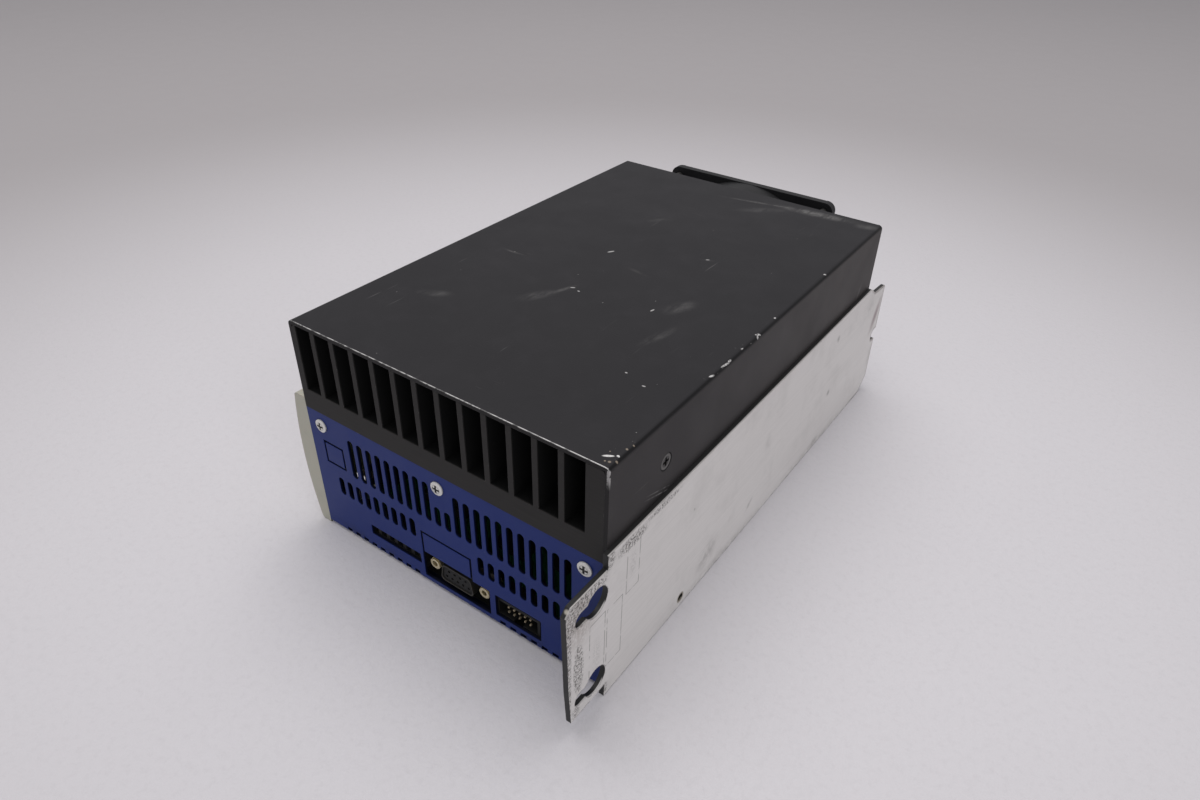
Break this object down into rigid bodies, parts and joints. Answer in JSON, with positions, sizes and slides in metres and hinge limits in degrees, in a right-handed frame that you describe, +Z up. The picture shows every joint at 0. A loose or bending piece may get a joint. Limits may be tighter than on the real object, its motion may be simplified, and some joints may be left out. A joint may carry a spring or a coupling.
{
  "type": "servo drive",
  "caption": "Servo motor drive: finned heat sink under a bent cover, slotted housing, front panel with display, keys and connectors, wall plate with keyholes, and axial fan.",
  "frame": {"origin": "bottom centre of the bounding box, with the drive lying on its side as it rests, heat sink uppermost", "axes": "+X towards the wall plate (the back in service), -X the operator's front panel; -Y the connector end (the top in service), +Y the fan end; +Z up, towards the heat sink cover"},
  "size_m": [0.1505, 0.266, 0.0974],
  "materials": {
    "bare_plate": "bare plated steel sheet, scuffed",
    "black_anodised": "black anodised extrusion, satin",
    "black_coat": "charcoal satin powder coat, worn at the edges",
    "black_plastic": "moulded, fine texture",
    "black_screws": "black oxide",
    "black_steel": "black coated steel, satin",
    "blue_paint": "blue paint, satin",
    "board": "green solder mask",
    "can_sleeve": "shrink sleeve",
    "chips": "moulded epoxy",
    "connector_shell": "nickel plated, slightly dull",
    "contact_metal": "tinned",
    "copper": "enamelled copper",
    "cream_plastic": "fine moulded texture",
    "green_plastic": "moulded",
    "grey_plastic": "moulded, fine texture",
    "jackscrews": "pale yellow plated",
    "keys": "moulded",
    "lamps": "clear frosted",
    "magnet": "bonded ferrite",
    "pads": "soft filled silicone",
    "screws": "bright zinc plated",
    "sheet_insulation": "translucent film",
    "steel": "ground",
    "window": "smoked"
  },
  "bodies": {
    "chassis": {"board_link": "black_plastic", "board_screws": "screws", "board_spacers": "screws", "box_header": "black_plastic", "bracket_screws": "screws", "charge_relay": "black_plastic", "control_board": "board", "control_chips": "chips", "cover_screws": "black_screws", "current_sensors": "black_plastic", "display_module": "grey_plastic", "display_window": "window", "fan_bearings": "steel", "fan_frame": "black_plastic", "fan_guard": "black_steel", "fan_nuts": "screws", "fan_plate": "black_steel", "fan_plate_screws": "black_screws", "fan_screws": "black_screws", "fan_stator": "copper", "front_panel": "cream_plastic", "header_pins": "contact_metal", "heat_sink": "black_anodised", "heat_sink_cover": "black_coat", "housing_cover": "blue_paint", "housing_screws": "screws", "insulating_sheet": "sheet_insulation", "key_switches": "black_plastic", "line_choke": "copper", "link_capacitors": "can_sleeve", "mounting_plate": "bare_plate", "panel_board": "board", "panel_screws": "screws", "plate_bracket": "steel", "plate_nuts": "screws", "plate_studs": "screws", "port_insulators": "grey_plastic", "port_jackscrews": "jackscrews", "port_shells": "connector_shell", "power_board": "board", "power_board_posts": "jackscrews", "power_headers": "black_plastic", "power_module": "grey_plastic", "power_pins": "contact_metal", "rectifier": "black_plastic", "signal_header": "green_plastic", "signal_pins": "contact_metal", "status_lights": "lamps", "supply_fuse": "lamps", "supply_transformer": "copper", "terminal_block": "black_plastic", "terminal_clamps": "contact_metal", "thermal_pads": "pads"},
    "fan_rotor": {"fan_impeller": "black_plastic", "fan_magnet": "magnet", "fan_shaft": "steel"},
    "key_up": {"button_up": "keys"},
    "key_down": {"button_down": "keys"},
    "key_enter": {"button_enter": "keys"}
  },
  "joints": [
    {"name": "fan_spin", "type": "hinge", "parent": "chassis", "child": "fan_rotor", "pos_m": [-0.00425, 0.1175, 0.0466], "axis": [0, 1, 0], "continuous": true},
    {"name": "press_up", "type": "slide", "parent": "chassis", "child": "key_up", "axis": [1, 0, 0], "range_m": [0, 0.0008], "stiffness_N_per_m": 600},
    {"name": "press_down", "type": "slide", "parent": "chassis", "child": "key_down", "axis": [1, 0, 0], "range_m": [0, 0.0008], "stiffness_N_per_m": 600},
    {"name": "press_enter", "type": "slide", "parent": "chassis", "child": "key_enter", "axis": [1, 0, 0], "range_m": [0, 0.0008], "stiffness_N_per_m": 600}
  ]
}
